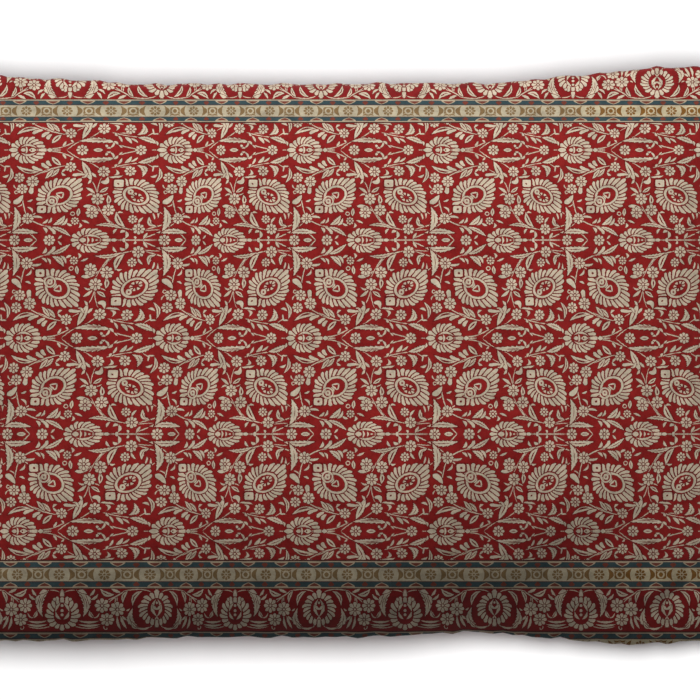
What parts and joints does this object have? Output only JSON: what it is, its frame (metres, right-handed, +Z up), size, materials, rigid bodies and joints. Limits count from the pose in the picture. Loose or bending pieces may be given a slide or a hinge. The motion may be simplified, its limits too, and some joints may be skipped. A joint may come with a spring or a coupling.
{
  "type": "lumbar pillow",
  "caption": "Oblong filled cushion with a sewn knife edge, drawn-in sides and thin corners, printed with a traditional palmette and vine pattern between striped borders.",
  "frame": {"origin": "centre of the underside of the bounding box, on the surface that the pillow lies on", "axes": "+X along the pillow's length, +Y across it towards the top of its print, +Z up out of its printed face"},
  "size_m": [0.5, 0.35, 0.1118],
  "materials": {
    "cover": "plain-woven cotton and linen, printed, matt"
  },
  "bodies": {
    "root": {"pillow": "cover"}
  },
  "joints": []
}
